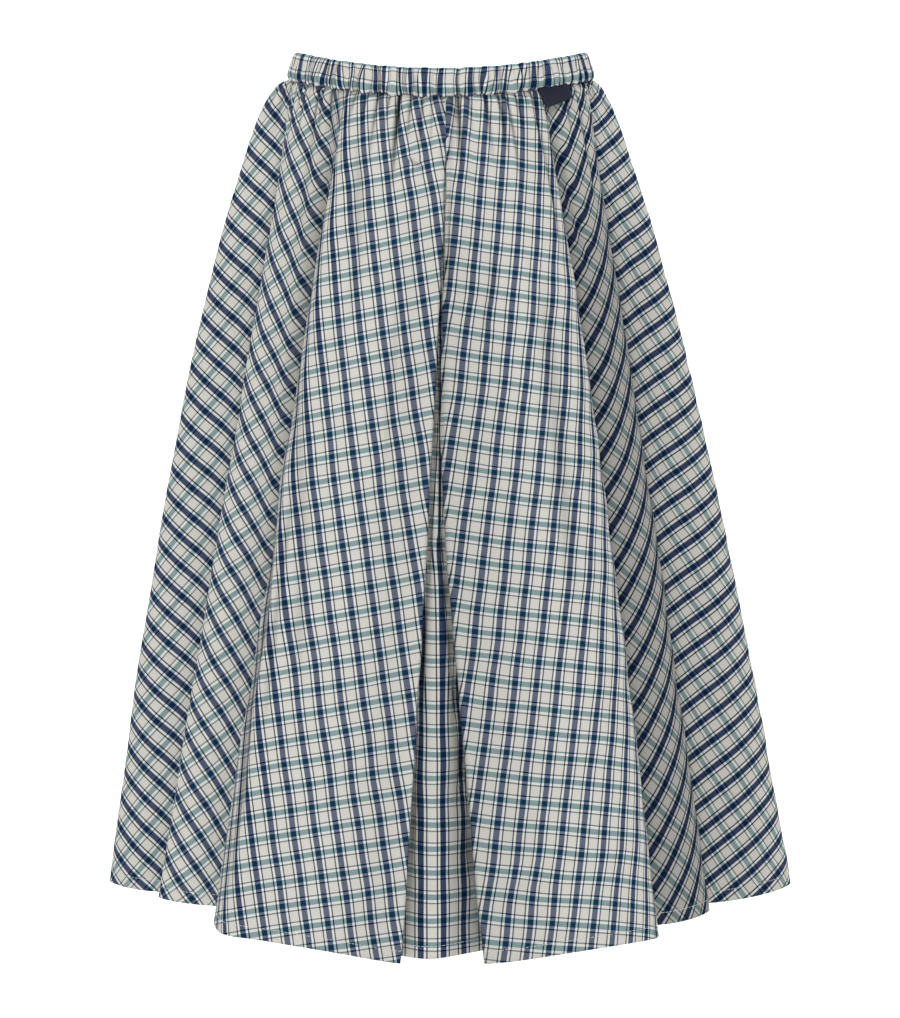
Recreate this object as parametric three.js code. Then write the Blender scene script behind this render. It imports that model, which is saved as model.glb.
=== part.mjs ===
// Midi skirt: a gathered elastic waistband, a flared front with an inverted centre pleat,
// a flared back and a plain label. Millimetres, +Z up. The skirt's front faces -Y and +X is
// to the right of someone who looks at its front. The origin is the middle of the waist
// opening, level with the band's top edge at centre front.
import * as THREE from 'three';

const WAIST_HALF_WIDTH = 127;
const WAIST_HALF_DEPTH = 94;
const SIDE_RISE = 14;           // how far the waist climbs from centre front to each side
const BAND_HEIGHT = 22;
const BAND_WALL = 3;
const HEM_Z = -712;
const WALL = 1.6;
const SEAM_GAP = 0.3;
const PANEL_INSET = 1.5;        // the panels' top edge lies this far inside the band's face
const GATHER_DEPTH = 2;
const GATHER_REACH = 0.2;       // share of the length over which the gathers die out
const COLUMNS_PER_GATHER = 3;
const POINTS_PER_FOLD = 2;

// Levels down the cloth, 0 at the waist seam and 1 at the hem, closer together where it turns.
const LEVELS = [0, 0.012, 0.035, 0.07, 0.115, 0.175, 0.25, 0.34, 0.44, 0.55, 0.66, 0.77, 0.885, 1];

// Fold lines round the cloth, one row each, from the left side seam round the front to the
// right one and on round the back.
//   angle   place on the waist, degrees from centre front towards +X
//   tuck    how far the line starts behind the waist's face, mm
//   x, y    where the line reaches the hem, mm
//   px, py  how the line spreads on its way down: under 1 it swings out early, over 1 late
const FRONT_FOLDS = [
  // name                 angle  tuck     x     y    px    py
  ['left seam',           -98.0, 0.0, -214,   80, 1.00, 1.00],
  ['left crest, back',    -94.0, 0.0, -285,   67, 0.64, 0.80],
  ['left crest',          -89.0, 0.0, -300,   48, 0.59, 0.80],
  ['far left face',       -84.0, 0.0, -277,   22, 0.68, 0.90],
  ['far left, inner',     -79.5, 0.0, -247,    9, 0.95, 1.00],
  ['far left valley, in', -77.5, 0.0, -190,    8, 1.00, 1.00],
  ['far left valley',     -76.0, 0.0, -158,    1, 1.00, 1.00],
  ['far left valley, out',-74.5, 0.0, -190,   -5, 1.00, 1.00],
  ['mid left crest, back',-72.5, 0.0, -243,    0, 0.95, 1.00],
  ['mid left crest',      -70.0, 0.0, -248,   -7, 0.95, 0.95],
  ['mid left face',       -60.0, 0.0, -228,  -24, 0.90, 0.85],
  ['mid left, inner',     -49.0, 0.0, -196,  -37, 0.90, 0.80],
  ['left valley, in',     -44.0, 0.0, -120,  -38, 1.00, 1.00],
  ['left valley',         -41.0, 0.0,  -45,  -50, 1.00, 1.00],
  ['left valley, out',    -38.5, 0.0, -120,  -62, 1.00, 1.00],
  ['front left, back',    -36.0, 0.0, -194,  -62, 0.90, 0.90],
  ['front left flank',    -34.0, 0.0, -189, -100, 0.88, 0.80],
  ['front left corner',   -32.0, 0.0, -181, -124, 0.88, 0.72],
  ['front left, outer',   -27.0, 0.0, -152, -136, 0.88, 0.70],
  ['front left face',     -17.0, 0.0, -100, -164, 0.88, 0.70],
  ['front left, inner',    -7.0, 0.0,  -51, -193, 0.95, 0.70],
  ['pleat edge, left',      1.0, 0.0,  -30, -205, 1.50, 0.70],
  ['pleat return, left',    0.6, 4.4,  -33, -194, 1.50, 0.71],
  ['pleat root, left',     -5.5, 4.6,  -88, -156, 1.10, 0.74],
  ['underlay root, left',  -5.2, 6.2,  -86, -148, 1.10, 0.74],
  ['underlay, left',       -1.0, 6.2,  -28, -184, 1.20, 0.74],
  ['underlay',              2.0, 6.2,   -6, -193, 1.20, 0.74],
  ['underlay, right',       5.0, 6.2,   27, -170, 1.20, 0.76],
  ['underlay root, right',  8.4, 6.2,   90, -136, 1.20, 0.78],
  ['pleat root, right',     8.8, 4.6,   93, -144, 1.20, 0.78],
  ['pleat return, right',   2.4, 4.4,   37, -193, 2.50, 0.72],
  ['pleat edge, right',     2.0, 0.0,   33, -205, 2.70, 0.70],
  ['front right, inner',   10.0, 0.0,   62, -196, 0.95, 0.70],
  ['front right face',     20.0, 0.0,  112, -170, 0.80, 0.70],
  ['front right, outer',   31.0, 0.0,  160, -144, 0.75, 0.70],
  ['front right corner',   36.0, 0.0,  182, -130, 0.75, 0.72],
  ['front right, back',    38.5, 0.0,  178, -114, 0.78, 0.80],
  ['right valley, out',    40.5, 0.0,  118, -110, 1.00, 1.00],
  ['right valley',         43.0, 0.0,   48, -102, 1.00, 1.00],
  ['right valley, in',     45.5, 0.0,  118,  -94, 1.00, 1.00],
  ['mid right, inner',     49.0, 0.0,  180,  -98, 0.85, 0.85],
  ['mid right face',       58.0, 0.0,  211,  -77, 0.85, 0.85],
  ['mid right crest',      67.0, 0.0,  231,  -50, 0.90, 0.90],
  ['mid right, back',      69.5, 0.0,  228,  -40, 0.92, 0.95],
  ['far right valley, out',71.5, 0.0,  165,  -43, 1.00, 1.00],
  ['far right valley',     73.5, 0.0,   83,  -35, 1.00, 1.00],
  ['far right valley, in', 75.5, 0.0,  165,  -26, 1.00, 1.00],
  ['far right, inner',     79.0, 0.0,  232,  -31, 0.90, 1.00],
  ['far right face',       84.0, 0.0,  278,   -3, 0.75, 0.90],
  ['right crest',          89.0, 0.0,  314,   38, 0.70, 0.80],
  ['right crest, back',    94.0, 0.0,  303,   60, 0.72, 0.80],
];
const BACK_FOLDS = [
  // name                 angle  tuck     x     y    px    py
  ['right seam',           98.0, 0.0,  222,   74, 1.00, 1.00],
  ['flute 1, side',       103.0, 0.0,  262,  100, 0.80, 0.90],
  ['flute 1, crest',      109.0, 0.0,  284,  136, 0.74, 0.80],
  ['flute 1, back',       115.0, 0.0,  244,  152, 0.78, 0.80],
  ['valley 1',            121.0, 0.0,  150,  106, 1.00, 1.00],
  ['flute 2, side',       127.0, 0.0,  184,  180, 0.82, 0.80],
  ['flute 2, crest',      134.0, 0.0,  196,  214, 0.80, 0.74],
  ['flute 2, back',       141.0, 0.0,  146,  212, 0.82, 0.76],
  ['valley 2',            147.0, 0.0,   88,  120, 1.00, 1.00],
  ['flute 3, side',       154.0, 0.0,   84,  218, 0.85, 0.76],
  ['flute 3, crest',      162.0, 0.0,   66,  246, 0.85, 0.72],
  ['flute 3, back',       169.0, 0.0,   24,  226, 0.90, 0.76],
  ['valley 3',            176.0, 0.0,    6,  130, 1.00, 1.00],
  ['flute 4, side',       183.0, 0.0,  -20,  224, 0.90, 0.76],
  ['flute 4, crest',      190.0, 0.0,  -58,  246, 0.85, 0.72],
  ['flute 4, back',       198.0, 0.0,  -88,  216, 0.85, 0.76],
  ['valley 4',            205.0, 0.0,  -82,  118, 1.00, 1.00],
  ['flute 5, side',       212.0, 0.0, -138,  214, 0.82, 0.76],
  ['flute 5, crest',      220.0, 0.0, -190,  212, 0.80, 0.74],
  ['flute 5, back',       227.0, 0.0, -182,  176, 0.82, 0.80],
  ['valley 5',            234.0, 0.0, -142,  106, 1.00, 1.00],
  ['flute 6, side',       241.0, 0.0, -232,  156, 0.78, 0.80],
  ['flute 6, crest',      249.0, 0.0, -272,  140, 0.74, 0.80],
  ['flute 6, back',       256.0, 0.0, -254,  104, 0.80, 0.90],
];
const FOLDS = [...FRONT_FOLDS, ...BACK_FOLDS];

// Fold lines that lean sideways on their way down, so that the pleat's edges almost meet
// over its upper part: mm along +X at the middle of the stretch between two levels.
const SWAYS = {
  // name                  mm   from  until
  'front left, inner':   [ 1.6, 0.00, 0.50],
  'pleat edge, left':    [ 3.2, 0.00, 0.50],
  'pleat return, left':  [ 3.2, 0.00, 0.50],
  'pleat return, right': [-7.2, 0.05, 0.80],
  'pleat edge, right':   [-7.2, 0.05, 0.80],
  'front right, inner':  [-4.0, 0.05, 0.80],
};

const radians = THREE.MathUtils.degToRad;

const waistRise = (angle) => SIDE_RISE * Math.sin(radians(angle)) ** 2;

function onWaist(angle, inset) {
  return new THREE.Vector2(
    (WAIST_HALF_WIDTH - inset) * Math.sin(radians(angle)),
    -(WAIST_HALF_DEPTH - inset) * Math.cos(radians(angle)),
  );
}

function sway(name, level) {
  const [reach, from, until] = SWAYS[name] ?? [0, 0, 1];
  const share = THREE.MathUtils.clamp((level - from) / (until - from), 0, 1);
  return reach * Math.sin(Math.PI * share) ** 2;
}

// Where a fold line crosses a level.
function foldPoint([name, angle, tuck, x, y, px, py], level) {
  const start = onWaist(angle, PANEL_INSET + tuck);
  const top = waistRise(angle) - BAND_HEIGHT - SEAM_GAP;
  return new THREE.Vector3(
    THREE.MathUtils.lerp(start.x, x, level ** px) + sway(name, level),
    THREE.MathUtils.lerp(start.y, y, level ** py),
    THREE.MathUtils.lerp(top, HEM_Z, level),
  );
}

// A level's whole section through the cloth's face: a closed quadratic spline that rounds
// each fold line off, with one point at the fold and one half way to the next.
function sectionLoop(level) {
  const corners = FOLDS.map((fold) => foldPoint(fold, level));
  const halfWay = (i) => corners[i].clone().lerp(corners[(i + 1) % corners.length], 0.5);
  return corners.flatMap((corner, i) => {
    const before = halfWay((i + corners.length - 1) % corners.length);
    const after = halfWay(i);
    return [new THREE.QuadraticBezierCurve3(before, corner, after).getPoint(0.5), after];
  });
}

// Outward normals of a grid of points that closes on itself along each row. Those of the
// first and last rows are level, so that the waist seam and the hem keep their heights.
function ringNormals(rows) {
  const lastRow = rows.length - 1;
  const columns = rows[0].length;
  return rows.map((row, r) => row.map((_, c) => {
    const along = row[(c + 1) % columns].clone().sub(row[(c + columns - 1) % columns]);
    const down = rows[Math.min(r + 1, lastRow)][c].clone().sub(rows[Math.max(r - 1, 0)][c]);
    const normal = down.cross(along);
    if (r === 0 || r === lastRow) normal.setZ(0);
    return normal.normalize();
  }));
}

// The small gathers below the waist seam run round everything but the flat pleat.
function isGathered(column) {
  const name = FOLDS[Math.floor(column / POINTS_PER_FOLD)][0];
  return !/pleat|underlay|seam/.test(name);
}

function gatheredFace() {
  const rows = LEVELS.map(sectionLoop);
  const normals = ringNormals(rows);
  return rows.map((row, r) => row.map((point, c) => {
    const fade = Math.max(0, 1 - LEVELS[r] / GATHER_REACH) ** 2;
    const wave = isGathered(c) ? Math.cos((2 * Math.PI * c) / COLUMNS_PER_GATHER) : 0;
    return point.clone().addScaledVector(normals[r][c], GATHER_DEPTH * wave * fade);
  }));
}

const FACE = gatheredFace();
const FACE_NORMALS = ringNormals(FACE);

// The wall's points on its inner side.
const INNER_FACE = FACE.map((row, r) => row.map((point, c) => (
  point.clone().addScaledVector(FACE_NORMALS[r][c], -WALL)
)));

// Closes a grid of outer points and the matching inner points to one solid wall.
// The grid runs left to right as seen from outside, top row first.
function wallGeometry(outer, inner, closedRing) {
  const rowCount = outer.length;
  const columnCount = outer[0].length;
  const positions = [...outer, ...inner].flat().flatMap((point) => point.toArray());
  const inside = rowCount * columnCount;
  const at = (r, c) => r * columnCount + (c % columnCount);
  const indices = [];
  const quad = (a, b, c, d) => indices.push(a, b, c, a, c, d);
  const spans = closedRing ? columnCount : columnCount - 1;
  for (let c = 0; c < spans; c += 1) {
    for (let r = 0; r < rowCount - 1; r += 1) {
      quad(at(r, c), at(r + 1, c), at(r + 1, c + 1), at(r, c + 1));
      quad(inside + at(r, c), inside + at(r, c + 1), inside + at(r + 1, c + 1), inside + at(r + 1, c));
    }
    const bottom = rowCount - 1;
    quad(at(0, c), at(0, c + 1), inside + at(0, c + 1), inside + at(0, c));
    quad(at(bottom, c), inside + at(bottom, c), inside + at(bottom, c + 1), at(bottom, c + 1));
  }
  if (!closedRing) {
    const end = columnCount - 1;
    for (let r = 0; r < rowCount - 1; r += 1) {
      quad(at(r, 0), inside + at(r, 0), inside + at(r + 1, 0), at(r + 1, 0));
      quad(at(r, end), at(r + 1, end), inside + at(r + 1, end), inside + at(r, end));
    }
  }
  const geometry = new THREE.BufferGeometry();
  geometry.setAttribute('position', new THREE.Float32BufferAttribute(positions, 3));
  geometry.setIndex(indices);
  geometry.computeVertexNormals();
  return geometry;
}

// A panel: the columns of the cloth from one side seam to the next, each end drawn back
// along the cloth so that two panels stay apart at their seam.
function panelGeometry(firstFold, lastFold) {
  const first = firstFold * POINTS_PER_FOLD;
  const last = lastFold * POINTS_PER_FOLD;
  const columns = Array.from({ length: last - first + 1 }, (_, c) => (first + c) % FACE[0].length);
  const drawnBack = (r, end, next) => FACE[r][next].clone().sub(FACE[r][end]).setLength(SEAM_GAP / 2);
  const side = (grid) => grid.map((row, r) => {
    const points = columns.map((c) => row[c].clone());
    points[0].add(drawnBack(r, columns[0], columns[1]));
    points.at(-1).add(drawnBack(r, columns.at(-1), columns.at(-2)));
    return points;
  });
  return wallGeometry(side(FACE), side(INNER_FACE), false);
}

// The band: a soft tube of cloth round its elastic, ruched all round.
const BAND_RUCHES = 60;
const COLUMNS_PER_RUCHE = 3;
const RUCHE_DEPTH = 1.1;
const BAND_TAPER = 5.5;         // how far each side leans in from the seam to the top edge
// Rows of the band's face from its top edge to its seam: share of the height, bulge in mm.
const BAND_PROFILE = [
  { down: 0.00, bulge: 0.0 },
  { down: 0.12, bulge: 1.3 },
  { down: 0.50, bulge: 2.0 },
  { down: 0.88, bulge: 1.3 },
  { down: 1.00, bulge: 0.0 },
];

function bandGeometry() {
  const columns = BAND_RUCHES * COLUMNS_PER_RUCHE;
  const ring = ({ down, bulge }, depth) => Array.from({ length: columns }, (_, c) => {
    const angle = (360 * c) / columns;
    const ruche = Math.cos((2 * Math.PI * c) / COLUMNS_PER_RUCHE);
    const raised = depth === 0 ? bulge * (1 + (RUCHE_DEPTH / 2) * ruche) : 0;
    const place = onWaist(angle, depth - raised);
    const lean = BAND_TAPER * (1 - down) ** 1.3 * Math.sin(radians(angle));
    return new THREE.Vector3(place.x - lean, place.y, waistRise(angle) - BAND_HEIGHT * down);
  });
  const outer = BAND_PROFILE.map((row) => ring(row, 0));
  const inner = BAND_PROFILE.map((row) => ring(row, BAND_WALL));
  return wallGeometry(outer, inner, true);
}

// The label: a bare tab that hangs from the waist seam beside the right valley. Its top edge
// tucks up under the band's bulge and it leans out over the cloth below.
const LABEL_FROM = 38;          // its ends on the waist, degrees
const LABEL_TO = 53.5;
const LABEL_DROP = 14;
const LABEL_WALL = 1;
const LABEL_COLUMNS = 7;
const LABEL_ROWS = 4;
const LABEL_TUCK = 0.7;         // how far its top edge rises above the seam
const LABEL_STAND_OFF = 0.8;    // from the band's face, at its top edge
const LABEL_FLARE = 0.62;       // how far it leans out, mm a mm of drop

function labelGeometry() {
  const face = (offset) => Array.from({ length: LABEL_ROWS }, (_, r) => {
    const drop = (LABEL_DROP * r) / (LABEL_ROWS - 1) - LABEL_TUCK;
    const standOff = LABEL_STAND_OFF + LABEL_FLARE * (drop + LABEL_TUCK) + offset;
    return Array.from({ length: LABEL_COLUMNS }, (__, c) => {
      const angle = THREE.MathUtils.lerp(LABEL_FROM, LABEL_TO, c / (LABEL_COLUMNS - 1));
      const place = onWaist(angle, -standOff);
      return new THREE.Vector3(place.x, place.y, waistRise(angle) - BAND_HEIGHT - drop);
    });
  });
  return wallGeometry(face(LABEL_WALL), face(0), false);
}

const cloth = (color) => new THREE.MeshStandardMaterial({ color, roughness: 0.85, metalness: 0 });

function piece(name, geometry, material) {
  const mesh = new THREE.Mesh(geometry, material);
  mesh.name = name;
  return mesh;
}

const skirt = new THREE.Group();
skirt.add(piece('waistband', bandGeometry(), cloth('#b9bdb6')));
skirt.add(piece('front_panel', panelGeometry(0, FRONT_FOLDS.length), cloth('#c2c4bb')));
skirt.add(piece('back_panel', panelGeometry(FRONT_FOLDS.length, FOLDS.length), cloth('#a9b2b3')));
skirt.add(piece('label', labelGeometry(), cloth('#1f2440')));

export default skirt;
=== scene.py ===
# A gathered midi skirt in a woven check: an inverted pleat at the front, deep side folds,
# six soft flutes behind, a ruched elastic waist and a bare woven label. Metres, +Z up.
import math
import bpy
import numpy as np
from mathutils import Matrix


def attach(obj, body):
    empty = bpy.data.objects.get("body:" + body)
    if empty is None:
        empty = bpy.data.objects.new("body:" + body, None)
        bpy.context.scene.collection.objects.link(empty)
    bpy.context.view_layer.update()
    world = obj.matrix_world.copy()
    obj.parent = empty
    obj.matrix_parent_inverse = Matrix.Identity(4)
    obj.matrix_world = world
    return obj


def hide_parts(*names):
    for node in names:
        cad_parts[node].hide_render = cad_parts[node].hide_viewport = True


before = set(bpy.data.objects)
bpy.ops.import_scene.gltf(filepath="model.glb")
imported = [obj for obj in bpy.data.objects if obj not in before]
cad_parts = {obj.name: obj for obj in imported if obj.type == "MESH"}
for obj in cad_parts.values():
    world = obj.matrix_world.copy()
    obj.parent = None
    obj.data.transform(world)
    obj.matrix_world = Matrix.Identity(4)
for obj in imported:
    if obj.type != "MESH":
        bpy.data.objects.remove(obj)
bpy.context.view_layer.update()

mm = 0.001


# Shader sums: Value wraps a socket, and sums on it add Math nodes.
class Value:
    def __init__(self, finish, socket):
        self.finish = finish
        self.socket = socket

    def maths(self, operation, other=0.0, turned=False, clamp=False):
        first, second = (other, self) if turned else (self, other)
        settings = {"operation": operation, "use_clamp": clamp}
        return self.finish.add("ShaderNodeMath", settings, {0: first, 1: second})

    def __add__(self, other):
        return self.maths("ADD", other)

    def __radd__(self, other):
        return self.maths("ADD", other, turned=True)

    def __sub__(self, other):
        return self.maths("SUBTRACT", other)

    def __rsub__(self, other):
        return self.maths("SUBTRACT", other, turned=True)

    def __mul__(self, other):
        return self.maths("MULTIPLY", other)

    def __truediv__(self, other):
        return self.maths("DIVIDE", other)

    def clamped(self):
        return self.maths("ADD", 0.0, clamp=True)

    def wave(self, pitch):
        return (self * (math.tau / pitch)).maths("SINE")


# A material whose nodes are fed by sockets or by plain values.
class Finish:
    def __init__(self, name, **constants):
        self.material = bpy.data.materials.new(name)
        self.material.use_nodes = True
        self.tree = self.material.node_tree
        self.tree.nodes.clear()
        self.shader = self.tree.nodes.new("ShaderNodeBsdfPrincipled")
        output = self.tree.nodes.new("ShaderNodeOutputMaterial")
        self.tree.links.new(self.shader.outputs[0], output.inputs["Surface"])
        for socketName, value in constants.items():
            self.shader.inputs[socketName.replace("_", " ")].default_value = value

    def add(self, kind, settings=None, inputs=None, output=0):
        node = self.tree.nodes.new(kind)
        for key, value in (settings or {}).items():
            setattr(node, key, value)
        for key, value in (inputs or {}).items():
            self.feed(node.inputs[key], value)
        return Value(self, node.outputs[output])

    def feed(self, target, value):
        if isinstance(value, Value):
            self.tree.links.new(value.socket, target)
        else:
            target.default_value = value

    def give(self, socketName, value):
        self.feed(self.shader.inputs[socketName], value)

    def mixed(self, first, second, share, blend="MIX"):
        settings = {"data_type": "RGBA", "blend_type": blend}
        return self.add("ShaderNodeMix", settings, {0: share, 6: first, 7: second}, 2)

    def flatPlace(self):
        return self.add("ShaderNodeUVMap", {"uv_map": "cloth"})

    def uv(self, axis):
        return self.add("ShaderNodeSeparateXYZ", None, {0: self.flatPlace()}, axis)

    def attribute(self, name):
        return self.add("ShaderNodeAttribute", {"attribute_name": name}, None, "Fac")

    def noise(self, place, scale, detail=2.0):
        inputs = {"Vector": place, "Scale": scale, "Detail": detail, "Roughness": 0.55}
        return self.add("ShaderNodeTexNoise", None, inputs, "Fac")

    def bump(self, height, distance, strength, under=None):
        inputs = {"Height": height, "Distance": distance, "Strength": strength}
        if under is not None:
            inputs["Normal"] = under
        return self.add("ShaderNodeBump", None, inputs)


def rgba(colour):
    return (*colour, 1)


# The woven check. Colours are display values; half widths are shares of a repeat.
checkCloth = {
    "warpRepeat": 0.0193,
    "weftRepeat": 0.0187,
    "warpStripes": [("line", 0.298), ("white", 0.238), ("navy", 0.134)],
    "weftStripes": [("greyLine", 0.287), ("white", 0.226), ("teal", 0.116)],
    "stripeEdge": 0.010,
    "cream": (0.835, 0.826, 0.796),
    "white": (0.900, 0.902, 0.890),
    "navy": (0.004, 0.066, 0.215),
    "line": (0.004, 0.040, 0.105),
    "teal": (0.222, 0.398, 0.432),
    "greyLine": (0.170, 0.260, 0.285),
    "shadow": (0.040, 0.042, 0.040),
    "gamma": 2.2,                   # turns display values to light
    "navyShadeBoost": 0.20,              # painted shade: how much more navy warp is mixed in where the cloth turns away, for the deeper shade between its yarns there
    "slubScales": ((900, 60, 1), (60, 900, 1)),
    "slubTone": 0.14,
    "slubShare": 0.35,
    "yarnPitch": 0.00062,
    "weave": (0.00008, 0.35),       # height in metres, strength
    "cockleScale": 55.0,
    "cockle": (0.0016, 0.22),
    "roughness": (0.81, 0.1),       # the least, and what the slubs add
}


def stripes(finish, along, repeat, rows):
    place = finish.add("ShaderNodeMath", {"operation": "PINGPONG"}, {0: along / repeat, 1: 0.5})
    colour = rgba(checkCloth["cream"])
    masks = {}
    for name, half in rows:
        edge = (half - place) / checkCloth["stripeEdge"] + 0.5
        masks[name] = edge.clamped()
        colour = finish.mixed(colour, rgba(checkCloth[name]), masks[name])
    return colour, masks


def checkFinish():
    cloth = checkCloth
    finish = Finish("check_cloth", Roughness=0.86, Sheen_Weight=0.012, Sheen_Roughness=0.5,
                    Specular_IOR_Level=0.05)
    u, v = finish.uv("X"), finish.uv("Y")
    warp, masks = stripes(finish, u, cloth["warpRepeat"], cloth["warpStripes"])
    weft = stripes(finish, v, cloth["weftRepeat"], cloth["weftStripes"])[0]
    dark = masks["line"] - masks["white"] + masks["navy"]
    # painted shade: the dark warp stripes take a larger share where the cloth turns away from the light
    share = 0.5 + dark * finish.attribute("turnedAwayShade") * cloth["navyShadeBoost"]
    colour = finish.mixed(weft, warp, share)
    # painted shade: the cloth is mixed towards the shadow colour in pinches and creases, between its
    # folds, under the band and on faces turned from the light
    colour = finish.mixed(colour, rgba(cloth["shadow"]), finish.attribute("paintedShade"))
    # yarns a little uneven along their own length
    flat = finish.flatPlace()
    slubs = []
    for scale in cloth["slubScales"]:
        place = finish.add("ShaderNodeMapping", None, {"Vector": flat, "Scale": scale})
        slubs.append(finish.noise(place, 1.0, 1.0))
    tone = (slubs[0] + slubs[1] - 1.0) * cloth["slubTone"] + 0.5
    grey = finish.add("ShaderNodeCombineColor", None, {0: tone, 1: tone, 2: tone})
    colour = finish.mixed(colour, grey, cloth["slubShare"], "SOFT_LIGHT")
    linear = finish.add("ShaderNodeGamma", None, {"Color": colour, "Gamma": cloth["gamma"]})
    finish.give("Base Color", linear)
    # weave, then the soft cockle of light cloth
    weave = finish.bump(u.wave(cloth["yarnPitch"]) * v.wave(cloth["yarnPitch"]), *cloth["weave"])
    cockle = finish.bump(finish.noise(flat, cloth["cockleScale"]), *cloth["cockle"], weave)
    finish.give("Normal", cockle)
    least, added = cloth["roughness"]
    finish.give("Roughness", slubs[0] * added + least)
    return finish.material


labelCloth = {
    "dark": (0.0050, 0.0075, 0.0210),
    "light": (0.012, 0.016, 0.036),
    "speckScale": 900.0,
    "ribPitch": 0.0007,
    "ribs": (0.0001, 0.6),          # height in metres, strength
    "roughness": (0.55, 0.15),
}


def labelFinish():
    cloth = labelCloth
    finish = Finish("label_cloth", Roughness=0.62, Sheen_Weight=0.02, Specular_IOR_Level=0.18)
    speck = finish.noise(finish.flatPlace(), cloth["speckScale"])
    finish.give("Base Color", finish.mixed(rgba(cloth["dark"]), rgba(cloth["light"]), speck))
    ribs = (finish.uv("X") + finish.uv("Y")).wave(cloth["ribPitch"])
    finish.give("Normal", finish.bump(ribs, *cloth["ribs"]))
    least, added = cloth["roughness"]
    finish.give("Roughness", speck * added + least)
    return finish.material


sewingThread = {
    "seam": (0.74, 0.73, 0.69),
    "label": (0.022, 0.030, 0.075),
    "flecks": 0.82,                 # the darker flecks' share of the colour
    "fleckScale": 1400.0,
    "roughness": (0.5, 0.2),
}


def threadFinish(name):
    thread = sewingThread
    finish = Finish(name + "_thread", Roughness=0.55, Sheen_Weight=0.1)
    place = finish.add("ShaderNodeTexCoord", None, None, "Object")
    fleck = finish.noise(place, thread["fleckScale"], 1.0)
    darker = [channel * thread["flecks"] for channel in thread[name]]
    finish.give("Base Color", finish.mixed(rgba(darker), rgba(thread[name]), fleck))
    least, added = thread["roughness"]
    finish.give("Roughness", fleck * added + least)
    return finish.material


checkMaterial = checkFinish()
labelMaterial = labelFinish()
seamThread = threadFinish("seam")
labelThread = threadFinish("label")
print("finishes made")


# The waist: an ellipse that climbs to each side. Angles run from centre front to the wearer's left.
waist = {
    "halfWidth": 127 * mm,
    "halfDepth": 94 * mm,
    "sideRise": 14 * mm,
    "bandHeight": 22 * mm,
    "panelInset": 1.5 * mm,
    "seamGap": 0.3 * mm,
    "hem": -712 * mm,
}
clothDrop = -waist["hem"] - waist["bandHeight"]     # from the waist seam to the hem


def waistPlace(degrees, inset=0.0):
    turn = np.radians(degrees)
    across = (waist["halfWidth"] - inset) * np.sin(turn)
    away = -(waist["halfDepth"] - inset) * np.cos(turn)
    return across, away, waist["sideRise"] * np.sin(turn) ** 2


# Fold lines from the waist to the hem: waist angle, tuck behind the face, hem x and y, and
# how each spreads on its way down (level ** power). Millimetres.
frontFolds = [
    ("left seam", -98, 0, -214, 80, 1, 1),
    ("left crest, back", -94, 0, -285, 67, 0.64, 0.8),
    ("left crest", -89, 0, -300, 48, 0.59, 0.8),
    ("far left face", -84, 0, -277, 22, 0.68, 0.9),
    ("far left, inner", -79.5, 0, -247, 9, 0.95, 1),
    ("far left valley, in", -77.5, 0, -190, 8, 1, 1),
    ("far left valley", -76, 0, -158, 1, 1, 1),
    ("far left valley, out", -74.5, 0, -190, -5, 1, 1),
    ("mid left crest, back", -72.5, 0, -243, 0, 0.95, 1),
    ("mid left crest", -70, 0, -248, -7, 0.95, 0.95),
    ("mid left face", -60, 0, -228, -24, 0.9, 0.85),
    ("mid left, inner", -49, 0, -196, -37, 0.9, 0.8),
    ("left valley, in", -44, 0, -120, -38, 1, 1),
    ("left valley", -41, 0, -45, -50, 1, 1),
    ("left valley, out", -38.5, 0, -120, -62, 1, 1),
    ("front left, back", -36, 0, -194, -62, 0.9, 0.9),
    ("front left flank", -34, 0, -189, -100, 0.88, 0.8),
    ("front left corner", -32, 0, -181, -124, 0.88, 0.72),
    ("front left, outer", -27, 0, -152, -136, 0.88, 0.7),
    ("front left face", -17, 0, -100, -164, 0.88, 0.7),
    ("front left, inner", -7, 0, -51, -193, 0.95, 0.7),
    ("pleat edge, left", 1, 0, -30, -205, 1.5, 0.7),
    ("pleat return, left", 0.6, 4.4, -33, -194, 1.5, 0.71),
    ("pleat root, left", -5.5, 4.6, -88, -156, 1.1, 0.74),
    ("underlay root, left", -5.2, 6.2, -86, -148, 1.1, 0.74),
    ("underlay, left", -1, 6.2, -28, -184, 1.2, 0.74),
    ("underlay", 2, 6.2, -6, -193, 1.2, 0.74),
    ("underlay, right", 5, 6.2, 27, -170, 1.2, 0.76),
    ("underlay root, right", 8.4, 6.2, 90, -136, 1.2, 0.78),
    ("pleat root, right", 8.8, 4.6, 93, -144, 1.2, 0.78),
    ("pleat return, right", 2.4, 4.4, 37, -193, 2.5, 0.72),
    ("pleat edge, right", 2, 0, 33, -205, 2.7, 0.7),
    ("front right, inner", 10, 0, 62, -196, 0.95, 0.7),
    ("front right face", 20, 0, 112, -170, 0.8, 0.7),
    ("front right, outer", 31, 0, 160, -144, 0.75, 0.7),
    ("front right corner", 36, 0, 182, -130, 0.75, 0.72),
    ("front right, back", 38.5, 0, 178, -114, 0.78, 0.8),
    ("right valley, out", 40.5, 0, 118, -110, 1, 1),
    ("right valley", 43, 0, 48, -102, 1, 1),
    ("right valley, in", 45.5, 0, 118, -94, 1, 1),
    ("mid right, inner", 49, 0, 180, -98, 0.85, 0.85),
    ("mid right face", 58, 0, 211, -77, 0.85, 0.85),
    ("mid right crest", 67, 0, 231, -50, 0.9, 0.9),
    ("mid right, back", 69.5, 0, 228, -40, 0.92, 0.95),
    ("far right valley, out", 71.5, 0, 165, -43, 1, 1),
    ("far right valley", 73.5, 0, 83, -35, 1, 1),
    ("far right valley, in", 75.5, 0, 165, -26, 1, 1),
    ("far right, inner", 79, 0, 232, -31, 0.9, 1),
    ("far right face", 84, 0, 278, -3, 0.75, 0.9),
    ("right crest", 89, 0, 314, 38, 0.7, 0.8),
    ("right crest, back", 94, 0, 303, 60, 0.72, 0.8),
]
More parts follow.
